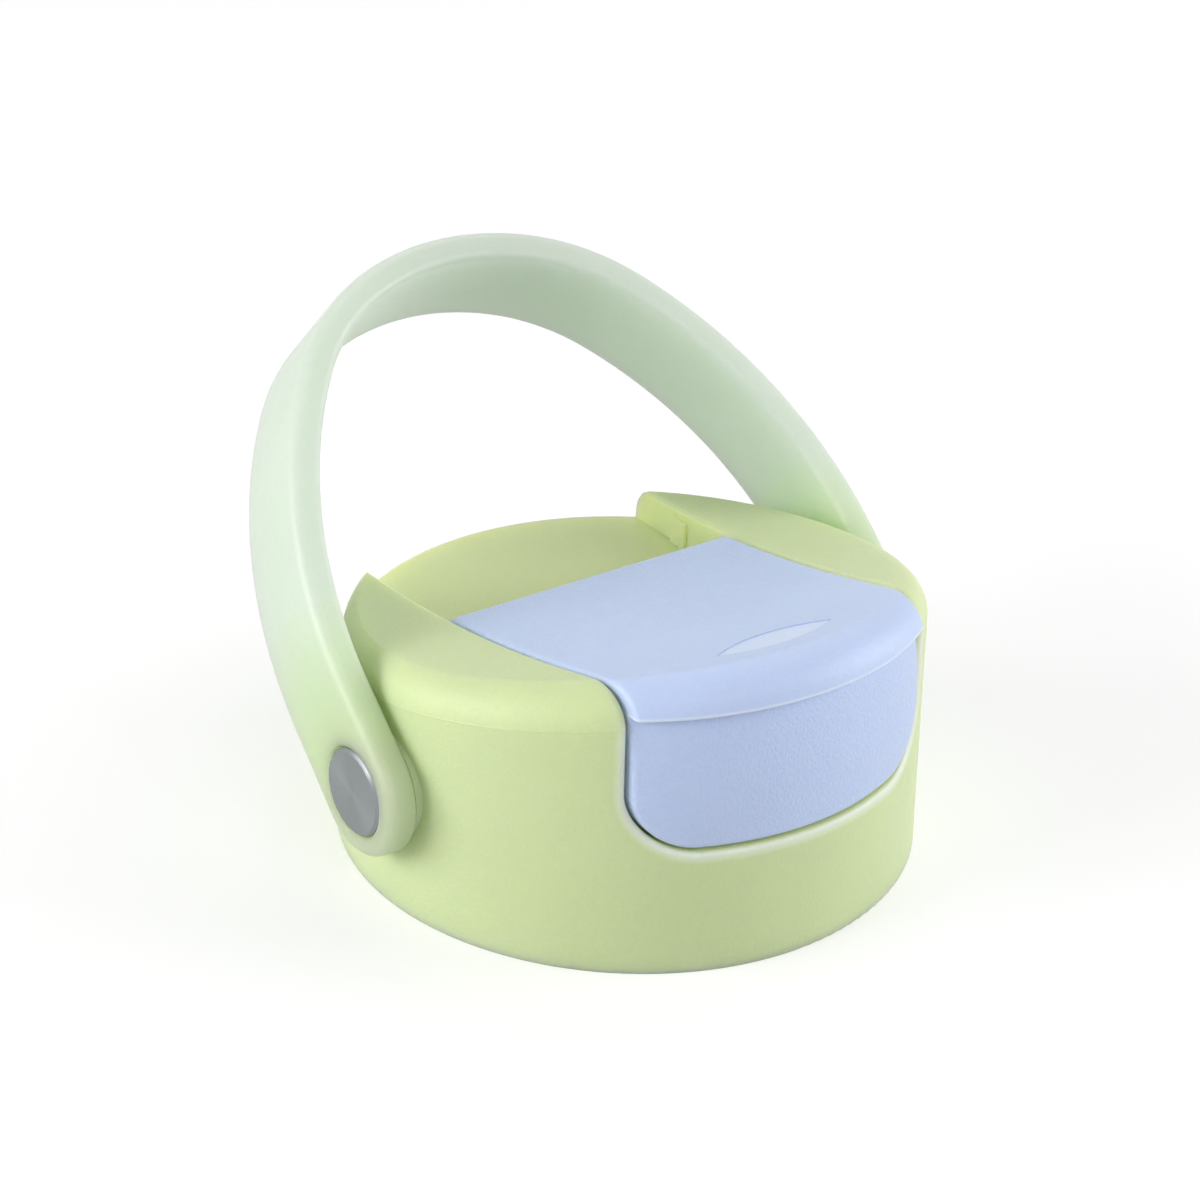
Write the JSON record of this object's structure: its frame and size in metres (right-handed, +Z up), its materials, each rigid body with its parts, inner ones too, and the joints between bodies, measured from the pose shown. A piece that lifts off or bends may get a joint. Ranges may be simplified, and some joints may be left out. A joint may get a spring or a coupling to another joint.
{
  "type": "drinking bottle sip cap",
  "caption": "Round screw-on sip cap with a flip lid sunk between two cheeks, a spout under it and a leaning carry loop on side pivots.",
  "frame": {"origin": "on the cap's axis in its base plane, where the neck socket opens", "axes": "+Z up along the cap's axis, -Y towards the lid's lip (the drinking side), +X to the cap's right"},
  "size_m": [0.0806, 0.0902, 0.0616],
  "materials": {
    "shell_plastic": "fine matte moulded",
    "lid_plastic": "fine matte moulded",
    "handle_elastomer": "satin translucent",
    "liner_plastic": "satin moulded",
    "silicone": "translucent soft",
    "steel": "turned with a bright edge",
    "washer_plastic": "plain moulded"
  },
  "bodies": {
    "cap": {"cap_shell": "shell_plastic", "inner_cap": "liner_plastic", "neck_gasket": "silicone", "spout": "liner_plastic", "spout_seal": "silicone", "vent_valve": "silicone", "hinge_pin": "steel", "pivot_rivet_left": "steel", "pivot_rivet_right": "steel", "friction_washer_left": "washer_plastic", "friction_washer_right": "washer_plastic", "rivet_clip_left": "steel", "rivet_clip_right": "steel"},
    "lid": {"sip_lid": "lid_plastic", "lid_liner": "liner_plastic", "spout_plug": "silicone"},
    "carry_loop": {"handle": "handle_elastomer", "eye_bush_left": "washer_plastic", "eye_bush_right": "washer_plastic"}
  },
  "joints": [
    {"name": "lid_hinge", "type": "hinge", "parent": "cap", "child": "lid", "pos_m": [0, 0.0095, 0.0259], "axis": [-1, 0, 0], "range_deg": [0, 105]},
    {"name": "handle_pivot", "type": "hinge", "parent": "cap", "child": "carry_loop", "pos_m": [0, 0, 0.0157], "axis": [-1, 0, 0], "range_deg": [-140, 40]}
  ]
}
